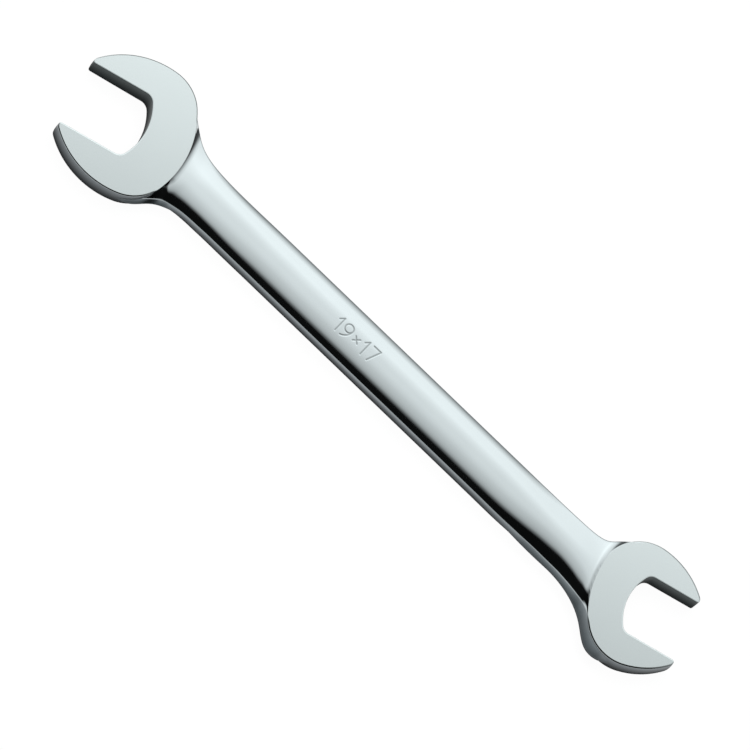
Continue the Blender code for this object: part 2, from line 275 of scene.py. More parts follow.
def make_piece(name, points, faces, marks):
    """A mesh object of the points (n by 3) and quads (m by 4), smooth, with point numbers."""
    mesh = bpy.data.meshes.new(name)
    mesh.vertices.add(len(points))
    mesh.vertices.foreach_set("co", points.astype(np.float32).ravel())
    mesh.loops.add(faces.size)
    mesh.loops.foreach_set("vertex_index", faces.astype(np.int32).ravel())
    mesh.polygons.add(len(faces))
    mesh.polygons.foreach_set("loop_start", np.arange(0, faces.size, faces.shape[1], dtype=np.int32))
    mesh.polygons.foreach_set("use_smooth", np.ones(len(faces), dtype=bool))
    for mark, numbers in marks.items():
        layer = mesh.attributes.new(mark, "FLOAT", "POINT")
        layer.data.foreach_set("value", numbers.astype(np.float32).ravel())
    mesh.update(calc_edges=True)
    mesh.validate()
    piece = bpy.data.objects.new(name, mesh)
    bpy.context.scene.collection.objects.link(piece)
    print(name, len(points), "points", len(faces), "quads")
    return piece


def ring_quads(index):
    """Quads between the rows of an index grid whose last column joins its first."""
    following = np.roll(index, -1, axis=1)
    return np.stack((index[:-1], following[:-1], following[1:], index[1:]), axis=-1).reshape(-1, 4)


def volume(piece):
    """Signed volume of a closed mesh: positive where its faces point outwards."""
    mesh = piece.data
    mesh.calc_loop_triangles()
    points = np.empty(len(mesh.vertices) * 3)
    mesh.vertices.foreach_get("co", points)
    points = points.reshape(-1, 3)
    corners = np.empty(len(mesh.loop_triangles) * 3, dtype=np.int32)
    mesh.loop_triangles.foreach_get("vertices", corners)
    a, b, c = points[corners.reshape(-1, 3)].transpose(1, 0, 2)
    return float(np.einsum("ij,ij->", a, np.cross(b, c)) / 6)


# %% [markdown]
# A head is a flat plate, milled and plated, with its rims just broken so that they don't
# cut. It could be a filled curve with a bevel, but a grid gives control over the shading:
# the outline runs one way, and the profile the other, from the middle of the underside, out
# over the bevelled rim, up the wall, over the upper rim and back to the middle. The plate is
# a C, so its middle is the line halfway between its outside and its slot. Where the neck
# grows out of the plate there is no bevel: its hollow fillet meets the face in a crisp edge.

# %% Head plates
RIM_WIDTH = 0.34 * MM
SLOT_RIM_WIDTH = 0.28 * MM
SLOT_DROP = 0.28
ROUND_RADIUS = 0.15 * MM
ROUND_ROWS = 5
BEVEL_ANGLE = math.radians(21)
BEVEL_SHARES = (0.15, 0.85, 1.0)
WALL_BULGE = 0.20 * MM
DOME_RADIUS = 0.9
WALL_ROWS = 6
HALF_COUNT = 260
TIP_COLUMNS = 16
FACE_SHARES = (0.01, 0.05, 0.15, 0.32, 0.52, 0.75, 1.0)
JOIN_EASE = 2.0 * MM
# Extra painted shade on the wall beside the neck, added to the mark "low".
JOIN_PAINTED_SHADE = 0.8
RIM_TAKEN = 0.94


def soft_step(share):
    """A change from 0 to 1 without a kink at either end: 3 s^2 - 2 s^3."""
    share = np.clip(share, 0, 1)
    return share * share * (3 - 2 * share)


def rim_profile():
    """Insets and rises of the rim's rows: a round of one radius, then a straight bevel."""
    turn = np.linspace(0, math.pi / 2 - BEVEL_ANGLE, ROUND_ROWS)
    inset, rise = ROUND_RADIUS * (1 - np.cos(turn)), ROUND_RADIUS * np.sin(turn)
    bevel = (RIM_WIDTH - inset[-1]) * np.array(BEVEL_SHARES)
    rise = np.concatenate((rise, rise[-1] + bevel * math.tan(BEVEL_ANGLE)))
    return np.concatenate((inset, inset[-1] + bevel)), rise


RIM_INSET, RIM_RISE = rim_profile()
RIM_DROP = RIM_RISE[-1]


def rim_left(head, points):
    """Share of the rim's bevel that is left: 1 round the jaws, almost none along the neck."""
    near = head["joined"][1] - points[..., 1]
    far = points[..., 1] + head["joined"][-1]
    join = soft_step(np.minimum(near, far) / JOIN_EASE + 1) * (points[..., 0] > 0)
    return 1 - RIM_TAKEN * join


def face_height(head, plan):
    """A face's height over the mid-plane: half the thickness less a flat dome, r^2 / (2 R)."""
    away = (plan ** 2).sum(axis=-1)
    return head["thickness"] / 2 - away / (2 * DOME_RADIUS)


def head_plate(head):
    """The closed skin of a head plate.

    Column i is a point of the outline. The rows climb the wall, whose outside bulges as
    1 - share^2 between the rims, then take the rim's round and bevel, and then lead to the
    median line, where column i meets its partner across the C. The mark "low" runs from 0
    at the upper rim to 1 at the lower one and sets painted shade on the walls, darker towards
    the bottom; it is raised beside the neck for painted shade in the crease there.
    """
    inner = np.vstack((inner_half(head, 1), inner_half(head, -1)[-2::-1]))
    outer, inner = resampled(outer_line(head), HALF_COUNT), resampled(inner, HALF_COUNT)
    loop = np.vstack((outer, inner[-2:0:-1]))
    normals = edge_normals(loop)
    columns = len(loop)
    partner = (-np.arange(columns)) % columns

    # One on the outside, none in the slot, with a soft change over the front of each tip
    position = np.arange(columns)
    signed = np.where(position <= HALF_COUNT, np.minimum(position, HALF_COUNT - position),
                      -np.minimum(position - HALF_COUNT, columns - position))
    outside = soft_step(signed / TIP_COLUMNS + 0.5)

    share = np.linspace(0, 1, WALL_ROWS + 1)[:-1]
    left = rim_left(head, turned(loop, head))
    joined = ((1 - left) * outside) ** 2
    rim = (SLOT_RIM_WIDTH + (head["rim"] * left - SLOT_RIM_WIDTH) * outside) / RIM_WIDTH
    left = SLOT_DROP + (left - SLOT_DROP) * outside
    wall_inset = -WALL_BULGE * (1 - share ** 2)[:, None] * outside
    inset = np.concatenate((wall_inset, RIM_INSET[:, None] * rim))
    rings = loop[None] - normals[None] * inset[..., None]
    level = face_height(head, rings[-1])
    wall_height = share[:, None] * (level - RIM_DROP * left)
    height = np.concatenate((wall_height, level - (RIM_DROP - RIM_RISE)[:, None] * left))
    median = (rings[-1] + rings[-1][partner]) / 2
    shares = np.array(FACE_SHARES)[:, None, None]
    face = rings[-1][None] * (1 - shares) + median[None] * shares
    rings = np.concatenate((rings, face))
    height = np.concatenate((height, face_height(head, face)))
    bevel = len(BEVEL_SHARES)
    fade = np.cos(np.linspace(0, math.pi / 2, len(RIM_INSET) - bevel)) ** 2
    worn = np.concatenate((np.zeros(WALL_ROWS), 1 - fade, np.ones(bevel), np.zeros(len(shares))))
    wall = np.concatenate((np.ones(WALL_ROWS), fade, np.zeros(bevel + len(shares))))

    # The underside mirrors the top, and they share the row on the mid-plane
    plan = np.concatenate((rings[:0:-1], rings))
    height = np.concatenate((-height[:0:-1], height))
    rows = len(plan)
    place = stood(turned(plan.reshape(-1, 2), head), head)
    points = np.column_stack((place, (height + MID_PLANE).ravel()))
    index = np.arange(rows * columns).reshape(rows, columns)
    for row in (0, rows - 1):
        index[row] = np.minimum(index[row], index[row][partner])
    quads = ring_quads(index)
    used, packed = np.unique(quads, return_inverse=True)
    wall = np.concatenate((wall[:0:-1], wall))[:, None]
    # Painted shade: "low" darkens the walls towards the bottom, and more beside the neck.
    low = np.clip(0.5 - height / head["thickness"] + JOIN_PAINTED_SHADE * joined, 0, 1)
    marks = {
        "low": low.ravel()[used],
        "worn": np.repeat(np.concatenate((worn[:0:-1], worn)), columns)[used],
        "wall": (wall * outside).ravel()[used],
        "slot": (wall * (1 - outside)).ravel()[used],
    }
    return make_piece(head["name"] + "_skin", points[used], packed.reshape(-1, 4), marks)


large_plate = head_plate(LARGE)
small_plate = head_plate(SMALL)
for plate in (large_plate, small_plate):
    if volume(plate) < 0:
        plate.data.flip_normals()
    print(plate.name, "volume in cubic mm:", round(volume(plate) / MM ** 3))

# %% [markdown]
# The shank flows into each head through a flared neck. Seen from above, each edge of a neck
# is one cubic curve: it leaves the head's outline along it, and ends along the shank. Four
# points settle such a curve, and its formula is the same blend of them all along.

# %% Edges of the necks
ROOT_INSET = 0.6 * MM
FLARE_SAMPLES = 400


def flare(head, side):
    """One edge of a neck in plan, as (1-t)^3 A + 3t(1-t)^2 B + 3t^2(1-t) C + t^3 D."""
    arcs = head_arcs(head, side)
    angle = head["root_angle"][side]
    outward = np.array((-math.cos(angle), math.sin(angle)))
    along = np.array((math.sin(angle), math.cos(angle)))
    if angle < math.pi - direction(arcs["back"], arcs["shoulder"]):
        root = arcs["back"] + (head["back_radius"] - ROOT_INSET) * outward
    else:
        root = arcs["shoulder"] + (head["shoulder_radius"] - ROOT_INSET) * outward
    mirror = np.array((1, side))
    start = turned(root * mirror, head)[0]
    leave = (turned((root - along) * mirror, head) - turned(root * mirror, head))[0]
    root_share, neck_share = head["handle_shares"][side]
    end = np.array((head["neck"][side], side * SHANK_WIDTH / 2))
    span = np.hypot(*(end - start))
    first = start + leave * span * root_share
    second = end - np.array((1, 0)) * span * neck_share
    t = np.linspace(0, 1, FLARE_SAMPLES)[:, None]
    return ((1 - t) ** 3 * start + 3 * t * (1 - t) ** 2 * first
            + 3 * t ** 2 * (1 - t) * second + t ** 3 * end)


print("neck ends in mm:", [head["neck"][side] / MM for head in (LARGE, SMALL) for side in (1, -1)])

# %% [markdown]
# A forging is designed by stations: at a few distances from a head, the drawing gives the
# height of the crown's middle and how round it is, and for each side the height of the ridge
# where the crown meets the side, how far that ridge lies inside the widest line, and how
# much that line is waisted. Between stations the numbers follow a smooth cubic, so that
# reflections don't break.

# %% Stations of the forging
NECK_LENGTH = 50.0 * MM
STATIONS = {
    "large_head": {
        "centre": {8: 2.60, 14: 2.65, 17.5: 2.70, 22: 2.75, 28: 2.77, 50: 2.75},
        "power": {8: 2.4, 15: 2.4, 18: 2.6, 22: 3.0, 50: 3.0},
        "ridge": {1: {8: 2.05, 16: 2.05, 50: 1.85},
                  -1: {8: 2.50, 12: 2.50, 14: 2.10, 16: 1.70, 18: 1.42, 20: 1.45, 24: 1.64, 28: 1.71,
                       35: 1.85, 50: 1.85}},
        "inset": {1: {8: 0.80, 16: 0.80, 50: 0.15},
                  -1: {8: 0.50, 10: 0.95, 12: 1.60, 14: 1.66, 16: 1.54, 18: 1.27, 20: 0.85, 24: 0.22,
                       28: 0.18, 33: 0.20, 40: 0.20, 50: 0.15}},
        "waist": {1: {8: 0.0, 16: 0.0, 50: 0.25},
                  -1: {8: -0.05, 12: -0.22, 16: -0.27, 20: -0.25, 24: 0.10, 28: 0.07, 32: 0.15,
                       40: 0.17, 50: 0.25}},
    },
    "small_head": {
        "centre": {5: 2.58, 9: 2.60, 12.5: 2.64, 16: 2.68, 20.5: 2.71, 28.6: 2.74, 40: 2.76, 50: 2.75},
        "power": {5: 2.4, 20.5: 2.4, 28.6: 2.5, 40: 2.9, 50: 3.0},
        "ridge": {1: {5: 1.74, 9: 1.64, 12.5: 1.50, 16: 1.38, 20.5: 1.33, 28.6: 1.50, 40: 1.78, 50: 1.85},
                  -1: {5: 2.05, 16: 2.05, 50: 1.85}},
        "inset": {1: {-6: 0.75, -4: 1.60, -1: 2.35, 5: 2.40, 9: 2.32, 12.5: 1.66, 16: 1.26, 20.5: 1.10,
                      28.6: 1.15, 34: 0.80, 40: 0.37, 50: 0.15},
                  -1: {5: 0.80, 16: 0.80, 50: 0.15}},
        "waist": {1: {-6: -0.25, -4: -0.45, -1: -0.38, 3: -0.30, 6: -0.14, 12: -0.15, 20: -0.24, 24: -0.40,
                      28: -0.44, 32: -0.36, 36: -0.18, 40: 0.0, 50: 0.25},
                  -1: {5: 0.0, 16: 0.0, 24: -0.10, 32: 0.0, 40: 0.16, 50: 0.25}},
    },
}


def eased(wanted, stations, values):
    """Smooth cubic through station values, with slopes from their neighbours on each side."""
    stations, values = np.array(stations, dtype=float), np.array(values, dtype=float)
    slopes = np.gradient(values, stations)
    slopes[0] = slopes[-1] = 0
    wanted = np.clip(wanted, stations[0], stations[-1])
    place = np.clip(np.searchsorted(stations, wanted, side="right") - 1, 0, len(stations) - 2)
    span = stations[place + 1] - stations[place]
    t = (wanted - stations[place]) / span
    low, high = values[place], values[place + 1]
    start, end = slopes[place] * span, slopes[place + 1] * span
    return (low * (1 + 2 * t) * (1 - t) ** 2 + start * t * (1 - t) ** 2
            + high * t * t * (3 - 2 * t) + end * t * t * (t - 1))


def station_value(head, key, distance, side=None):
    """A station number in metres, or the bare power, at distances from a head's centre."""
    stations = STATIONS[head["name"]][key]
    if side is not None:
        stations = stations[side]
    value = eased(np.asarray(distance) / MM, list(stations), list(stations.values()))
    return value if key == "power" else value * MM


for head in (LARGE, SMALL):
    print(head["name"], "ridge at 12 mm:", np.round(station_value(head, "ridge", 12 * MM, -1) / MM, 3))

# %% [markdown]
# In plan a neck is ruled: each column is a line from a point on the near edge to one on the
# far edge. The first columns lie inside the head plate, out of sight, and bow away from its
# slot. They are packed closely as far as the plate's back, where the surface sweeps up to it.

# %% Plan of a neck
CLOSE_STEP = 0.12 * MM
CLOSE_BEYOND = 2.5 * MM
OPEN_COLUMNS = 44
CROWD_POWER = 1.5
BOW = 2.5 * MM
CHUNK = 2000


def neck_columns(head):
    """Distances from the head's centre of each column's near and far ends."""
    close = head["back_reach"] + CLOSE_BEYOND
    far_start = head["start"][-1]
    first = np.arange(far_start, close, CLOSE_STEP)
    crowd = np.linspace(0, 1, OPEN_COLUMNS + 1)[1:] ** CROWD_POWER
    far = np.concatenate((first, first[-1] + (NECK_LENGTH - first[-1]) * crowd))
    share = (far - far_start) / (NECK_LENGTH - far_start)
    near = head["start"][1] + (NECK_LENGTH - head["start"][1]) * share
    return near, far


def edge_points(head, side, distance):
    """The widest line of one edge at distances from the head: the flare, then the bar."""
    edge = flare(head, side)
    waist = side * station_value(head, "waist", distance, side)
    return np.column_stack((distance, np.interp(distance, edge[:, 0], edge[:, 1]) - waist))


def distance_outside(points, loop):
    """Distance from a closed loop, over its nearest point's two segments; negative inside it."""
    flat = points.reshape(-1, 2)
    nearest = np.concatenate([np.argmin(((part[:, None] - loop[None]) ** 2).sum(axis=2), axis=1)
                              for part in np.array_split(flat, max(1, len(flat) // CHUNK))])
    best = np.full(len(flat), np.inf)
    for other in (1, -1):
        start, end = loop[nearest], loop[(nearest + other) % len(loop)]
        line = end - start
        share = np.einsum("ij,ij->i", flat - start, line) / np.einsum("ij,ij->i", line, line)
        foot = start + line * np.clip(share, 0, 1)[:, None]
        best = np.minimum(best, np.hypot(*(flat - foot).T))
    outward = np.einsum("ij,ij->i", edge_normals(loop)[nearest], flat - loop[nearest])
    return (best * np.where(outward > 0, 1, -1)).reshape(points.shape[:-1])


print("neck columns:", [len(neck_columns(head)[0]) for head in (LARGE, SMALL)])

# %% [markdown]
# The sizes of the two jaws are engraved in the middle of the shank, as plain numbers. Each
# stroke is a line or an arc. Near a stroke the surface sinks into a shallow round groove, so
# what is needed is each point's distance from the strokes.

# %% Strokes of the engraved sizes
DIGIT_HEIGHT = 4.4 * MM
STROKE = 0.20 * MM
STROKE_REACH_SHARE = 1.35
SIGN_GAP_SHARE = 0.30
ENGRAVING_DEPTH = 0.05 * MM
ENGRAVING_MIDDLE = -9.0 * MM
ENGRAVING_HALF = 8.6 * MM


def strokes_of(sign):
    """Polylines of a sign in a box one high; the 9 is a ring with an arc for its tail."""
    if sign == "1":
        return [np.array(((0.0, 0.74), (0.24, 1.0), (0.24, 0.0)))], 0.24
    if sign == "7":
        return [np.array(((0.0, 1.0), (0.56, 1.0), (0.20, 0.0)))], 0.56
    if sign == "9":
        ring = arc((0.28, 0.70), 0.28, 0, 2 * math.pi)[::8]
        tail = arc((-0.16, 0.70), 0.72, 0, -math.radians(72))[::4]
        return [ring, tail], 0.56
    return [np.array(((0.0, 0.30), (0.36, 0.66))), np.array(((0.0, 0.66), (0.36, 0.30)))], 0.36


def engraving():
    """All stroke segments of the sizes, as starts and ends in the frame's plan."""
    starts, ends, pen = [], [], 0.0
    for sign in "19x17":
        polylines, width = strokes_of(sign)
        for line in polylines:
            placed = (line + (pen, -0.5)) * DIGIT_HEIGHT
            starts.append(placed[:-1])
            ends.append(placed[1:])
        pen += width + SIGN_GAP_SHARE
    starts, ends = np.vstack(starts), np.vstack(ends)
    offset = np.array((ENGRAVING_MIDDLE - (pen - SIGN_GAP_SHARE) * DIGIT_HEIGHT / 2, SHIFT[1]))
    return starts + offset, ends + offset


def stroke_distance(plan):
    """Distance of each plan point from the nearest stroke segment."""
    starts, ends = engraving()
    best = np.full(plan.shape[:-1], np.inf)
    for start, end in zip(starts, ends):
        line = end - start
        share = np.clip(((plan - start) @ line) / (line @ line), 0, 1)
        foot = start + share[..., None] * line
        best = np.minimum(best, np.hypot(*np.moveaxis(plan - foot, -1, 0)))
    return best


print("stroke segments:", len(engraving()[0]))

# %% [markdown]
# The shank and both necks are one forging, so they are one skin: a closed tube whose cross
# section changes along its length. Over the crown the height falls from the middle to the
# ridges as one minus a power of the share across, and the ridges are rounded over. From a
# ridge the side runs straight down to the widest line, on the mid-plane, and the underside
# mirrors it. Next to a head a hollow fillet sweeps up to the edge of the plate's face. Only
# at the large head's far corner it dies out, and the crown dips into a flat, slanted pocket.

# %% Cross section of the shank
EVEN_HALF = 3.0 * MM
EVEN_STEP = 0.13 * MM
CROWDED_ROWS = 28
FILLET_RADIUS = 3.0 * MM
FILLET_SPARE = 1.12
FILLET_SHARE = 0.97
LEAST_RISE = 0.02 * MM
RIM_GAP = 0.02 * MM
RIDGE_ROUND = 0.35 * MM
RIDGE_ROUND_SHARE = 0.78
CORNER_START = 2.5 * MM
CORNER_SPAN = 3.5 * MM
POCKET_EDGE = np.array(((15.8, -3.8), (17.2, -6.5))) * MM
POCKET_SLOPE = 0.32
POCKET_REACH = 3.2 * MM
POCKET_EASE = 0.3 * MM
SIDE_SHARES = (0.0, 0.2, 0.4, 0.6, 0.78, 0.91, 0.985)


def crown_rows():
    """Shares across from 1 to -1: even in the middle for the engraving, crowded at the ridges."""
    flat = np.arange(0, EVEN_HALF, EVEN_STEP) / (SHANK_WIDTH / 2)
    turn = np.linspace(0, math.pi / 2, CROWDED_ROWS + 1)[1:]
    rest = flat[-1] + (1 - flat[-1]) * np.sin(turn)
    half = np.concatenate((flat, rest))
    return np.concatenate((half[::-1], -half[1:]))


def crown_height(across, half, centre, ridges, power):
    """Ridge + (centre - ridge) * (1 - |across|^power), less a round of radius R at the ridge.

    The ridge's height is blended from side to side, and the round takes off
    R * (1 - sqrt(1 - q^2)), where q grows with the distance, from 0 to its share at the ridge.
    """
    ridge = (ridges[0] + ridges[1]) / 2 + across * (ridges[0] - ridges[1]) / 2
    over = (np.abs(across) - 1) * half / RIDGE_ROUND + RIDGE_ROUND_SHARE
    over = np.clip(over, 0, RIDGE_ROUND_SHARE)
    crown = ridge + (centre - ridge) * (1 - np.abs(across) ** power)
    return crown - RIDGE_ROUND * (1 - np.sqrt(1 - over ** 2))


def eased_ramp(past):
    """Nought before an edge and the distance past it, eased over: (sqrt(x^2 + e^2) + x) / 2."""
    return (np.sqrt(past ** 2 + POCKET_EASE ** 2) + past) / 2


def pocket_depth(plan):
    """Depth of a pocket with a flat slant: slope times distance beyond its edge, up to a reach."""
    along = POCKET_EDGE[1] - POCKET_EDGE[0]
    along /= np.hypot(*along)
    beyond = (plan - POCKET_EDGE[0]) @ np.array((along[1], -along[0]))
    return POCKET_SLOPE * (eased_ramp(beyond) - eased_ramp(beyond - POCKET_REACH))


def neck_surface(head, across):
    """A neck's crown, as plan in the frame and height over the mid-plane, and its widest lines."""
    distances = neck_columns(head)
    widest, ridge_points, ridge_heights = [], [], []
    for side, distance in zip((1, -1), distances):
        points = edge_points(head, side, distance)
        widest.append(points)
        inward = np.array((0, -side)) * station_value(head, "inset", distance, side)[:, None]
        ridge_points.append(points + inward)
        ridge_heights.append(station_value(head, "ridge", distance, side)[:, None])
    middle = sum(ridge_points) / 2
    half = (ridge_points[0] - ridge_points[1]) / 2
    plan = middle[:, None] + across[None, :, None] * half[:, None]
    mean = sum(distances) / 2
    bow = BOW * (NECK_LENGTH - mean) / (NECK_LENGTH - mean[0])
    plan[..., 0] += bow[:, None] * (1 - across[None] ** 2)
    centre = station_value(head, "centre", mean)[:, None]
    power = station_value(head, "power", mean)[:, None]
    width = np.hypot(half[:, 0], half[:, 1])[:, None]
    base = crown_height(across[None], width, centre, ridge_heights, power)
    if head is LARGE:
        base = base - pocket_depth(plan)

    # The fillet is an arc that starts flat where its reach ends and steepens to the plate. It
    # dies out towards an open corner, where the crown runs on to the plate's wall
    loop = turned(outer_line(head), head)
    away = distance_outside(plan, loop)
    hub = turned((0, 0), head)[0]
    rim = face_height(head, plan - hub) - RIM_DROP * rim_left(head, plan) - RIM_GAP
    kept = 1 - head["open_corner"] * soft_step((-plan[..., 1] - CORNER_START) / CORNER_SPAN)
    rise = np.maximum((rim - base) * kept, LEAST_RISE)
    radius = np.maximum(FILLET_RADIUS, rise * FILLET_SPARE)
    reach = np.sqrt(2 * radius * rise - rise ** 2)
    share = np.clip((reach - away) / radius, 0, FILLET_SHARE)
    lifted = base + radius * (1 - np.sqrt(1 - share ** 2))
    lifted = np.minimum(lifted, np.maximum(rim, base))
    return stood(plan, head), lifted, stood(np.array(widest), head)


across = crown_rows()
print("rows across:", len(across))

# %% [markdown]
# The three stretches are laid end to end: large neck, plain shank, small neck turned round.
# Each column then becomes a closed ring: from the widest line up the side to the ridge, over
# the crown, down the other side, and back underneath. The columns crowd where the numbers
# are engraved.

# %% Build the shank
PLAIN_COUNTS = (12, 133, 22)
# Where the sides' painted shade thins towards the ridge and reaches onto the crown's edge.
SIDE_SHINE = 0.10
RIDGE_WALL = 0.9
RIDGE_WALL_POWER = 50
RIDGE_WORN_POWER = 8


def whole_crown(across):
    """Plan, height and the two widest lines of the whole bar in the frame's plan."""
    large_plan, large_height, large_wide = neck_surface(LARGE, across)
    small_plan, small_height, small_wide = neck_surface(SMALL, across)
    start, end = large_plan[-1, 0, 0], small_plan[-1, 0, 0]
    fine = (ENGRAVING_MIDDLE - ENGRAVING_HALF, ENGRAVING_MIDDLE + ENGRAVING_HALF)
    stations = np.concatenate((
        np.linspace(start, fine[0], PLAIN_COUNTS[0])[1:-1],
        np.linspace(fine[0], fine[1], PLAIN_COUNTS[1]),
        np.linspace(fine[1], end, PLAIN_COUNTS[2])[1:-1],
    ))
    waist, inset, ridge = (station_value(LARGE, key, NECK_LENGTH, 1)
                           for key in ("waist", "inset", "ridge"))
    centre, power = (station_value(LARGE, key, NECK_LENGTH) for key in ("centre", "power"))
    wide = SHANK_WIDTH / 2 - waist
    half = wide - inset
    plain_plan = np.stack(np.meshgrid(stations, SHIFT[1] + across * half, indexing="ij"), axis=-1)
    row = crown_height(across, half, centre, (ridge, ridge), power)
    plain_height = np.tile(row, (len(stations), 1))
    plain_wide = [np.column_stack((stations, np.full(len(stations), SHIFT[1] + side * wide)))
                  for side in (1, -1)]

    plan = np.concatenate((large_plan, plain_plan, small_plan[::-1, ::-1]))
    height = np.concatenate((large_height, plain_height, small_height[::-1, ::-1]))
    left = np.concatenate((large_wide[0], plain_wide[0], small_wide[1][::-1]))
    right_line = np.concatenate((large_wide[1], plain_wide[1], small_wide[0][::-1]))
    return plan, height, left, right_line


def side_rows(ridge_plan, ridge_height, widest, climb):
    """Rows of one side, straight from the widest line at the mid-plane to the ridge."""
    plan = widest[:, None] + (ridge_plan - widest)[:, None] * climb[None, :, None]
    return plan, ridge_height[:, None] * climb[None]


def shank_skin():
    """The skin of shank and necks, as closed rings of points joined along the wrench."""
    plan, height, left, right_line = whole_crown(across)
    engraved = soft_step(STROKE_REACH_SHARE - stroke_distance(plan) / STROKE)
    columns = len(plan)
    climb = np.array(SIDE_SHARES)
    left_plan, left_height = side_rows(plan[:, 0], height[:, 0], left, climb)
    right_plan, right_height = side_rows(plan[:, -1], height[:, -1], right_line, climb[::-1])
    upper_plan = np.concatenate((left_plan, plan, right_plan), axis=1)
    upper = np.concatenate((left_height, height - ENGRAVING_DEPTH * engraved, right_height), axis=1)
    lower = np.concatenate((left_height, height, right_height), axis=1)

    # Painted shade: the wall colour covers the sides, a little less near the ridge, and the crown's last
    # rows at the ridges; "low" darkens the sides towards the widest line and the underside towards the
    # bottom.
    side_wall = 1 - SIDE_SHINE * climb ** 3
    ridge_wall = RIDGE_WALL * np.abs(across) ** RIDGE_WALL_POWER
    wall = np.concatenate((side_wall, ridge_wall, side_wall[::-1]))
    side_worn = climb ** RIDGE_WORN_POWER
    worn = np.concatenate((side_worn, np.zeros(len(across)), side_worn[::-1]))
    low = np.concatenate((0.5 - climb / 2, np.zeros(len(across)), 0.5 - climb[::-1] / 2))
    ring_plan = np.concatenate((upper_plan, upper_plan[:, -2:0:-1]), axis=1)
    ring_level = np.concatenate((upper, -lower[:, -2:0:-1]), axis=1)
    ring = ring_plan.shape[1]
    cut = np.pad(engraved, ((0, 0), (len(climb), ring - len(climb) - len(across))))
    marks = {
        "low": np.tile(np.concatenate((low, 1 - low[-2:0:-1])), columns),
        "worn": np.tile(np.concatenate((worn, worn[-2:0:-1])), columns),
        "wall": np.tile(np.concatenate((wall, wall[-2:0:-1])), columns),
        "slot": np.zeros(columns * ring),
        "cut": cut.ravel(),
    }
    points = np.column_stack((ring_plan.reshape(-1, 2), (ring_level + MID_PLANE).ravel()))
    index = np.arange(columns * ring).reshape(columns, ring)
    return points, ring_quads(index), marks


shank = make_piece("shank_skin", *shank_skin())

# %% [markdown]
# The tube's two ends lie inside the plates. One flat face closes each, and the mesh is then
# asked to point all its faces outwards. No open edge is left in a closed mesh.

# %% Close the ends
build = bmesh.new()
build.from_mesh(shank.data)
bmesh.ops.holes_fill(build, edges=[edge for edge in build.edges if edge.is_boundary], sides=0)
bmesh.ops.recalc_face_normals(build, faces=build.faces)
open_edges = sum(edge.is_boundary for edge in build.edges)
build.to_mesh(shank.data)
build.free()
if volume(shank) < 0:
    shank.data.flip_normals()
print("shank: open edges", open_edges, "volume in cubic mm:", round(volume(shank) / MM ** 3))

# %% [markdown]
# Shader maths reads best as plain formulas. This small class wraps a socket, so that adding
# or multiplying two of them puts the Math node in. Every other node is made by one method,
# which sets the node's own settings before its sockets.

# %% Shader helpers


class Value:
    """A node socket that takes part in expressions."""

    def __init__(self, tree, socket):
        self.tree = tree
        self.socket = socket

    def __add__(self, other):
        return self.tree.math("ADD", self, other)

    def __radd__(self, other):
        return self.tree.math("ADD", other, self)

    def __sub__(self, other):
        return self.tree.math("SUBTRACT", self, other)

    def __rsub__(self, other):
        return self.tree.math("SUBTRACT", other, self)

    def __mul__(self, other):
        return self.tree.math("MULTIPLY", self, other)

    def __truediv__(self, other):
        return self.tree.math("DIVIDE", self, other)

    def __pow__(self, other):
        return self.tree.math("POWER", self, other)


class Made:
    """A node just made, whose outputs come out as values."""

    def __init__(self, tree, node):
        self.tree = tree
        self.node = node

    def out(self, name):
        return Value(self.tree, self.node.outputs[name])


class Tree:
    """A node tree that is built by adding nodes with settings and socket values."""

    def __init__(self, owner):
        owner.use_nodes = True
        self.nodes = owner.node_tree.nodes
        self.links = owner.node_tree.links
        self.nodes.clear()

    def add(self, kind, settings=None, sockets=None):
        """A node of a kind, set up first and then filled or linked."""
        node = self.nodes.new(kind)
        for name, value in (settings or {}).items():
            if name == "stops":
                self.stops(node.color_ramp, value)
            else:
                setattr(node, name, value)
        for name, value in (sockets or {}).items():
            if isinstance(value, Value):
                self.links.new(value.socket, node.inputs[name])
            else:
                node.inputs[name].default_value = value
        return Made(self, node)

    def stops(self, ramp, stops):
        """Set a ramp's stops, given as positions with colours."""
        while len(ramp.elements) < len(stops):
            ramp.elements.new(1.0)
        for element, (position, colour) in zip(ramp.elements, stops):
            element.position = position
            element.color = (*colour, 1)

    def math(self, operation, first, second):
        """A Math node on two values or numbers."""
        return self.add("ShaderNodeMath", {"operation": operation}, {0: first, 1: second}).out("Value")

    def clamped(self, value, low, high):
        """A value kept between two limits."""
        return self.math("MINIMUM", self.math("MAXIMUM", value, low), high)

    def mark(self, name):
        """A number that the mesh keeps for each point."""
        return self.add("ShaderNodeAttribute", {"attribute_name": name}).out("Fac")

    def mix(self, factor, first, second):
        """A blend of two colours by a factor."""
        made = self.add("ShaderNodeMix", {"data_type": "RGBA"}, {0: factor, 6: first, 7: second})
        return Value(self, made.node.outputs[2])


# %% [markdown]
# Bright plating over forged steel is hardly one colour. The polished crown has faint wiping
# marks along the shank, and the heads a finer satin grain. The walls are darker and duller:
# partly a duller finish of their own, partly painted shade for the shadowed floor they
# reflect. Their darkening towards the bottom, in the slots and beside the necks is painted
# shade. So one recipe serves all: a grain stretched along the tool, a cloudy change of tone and
# gloss, and marks kept on the mesh for walls, worn rims and the engraving. Bare metal
# brightens at a slant however dark it is, so the painted shade is a dark dull shader mixed in.

# %% Chrome finishes
# The "wall" colours: partly a duller wall finish, partly painted shade for the shadowed floor the walls
# reflect.
POLISH = {"colour": (0.66, 0.70, 0.71), "gloss": 0.07, "grain": 0.004, "stretch": 0.06,
          "wall": (0.22, 0.245, 0.26, 1), "fade": 2.0}
SATIN = {"colour": (0.66, 0.70, 0.70), "gloss": 0.16, "grain": 0.006, "stretch": 0.5,
         "wall": (0.19, 0.212, 0.225, 1), "fade": 2.1}
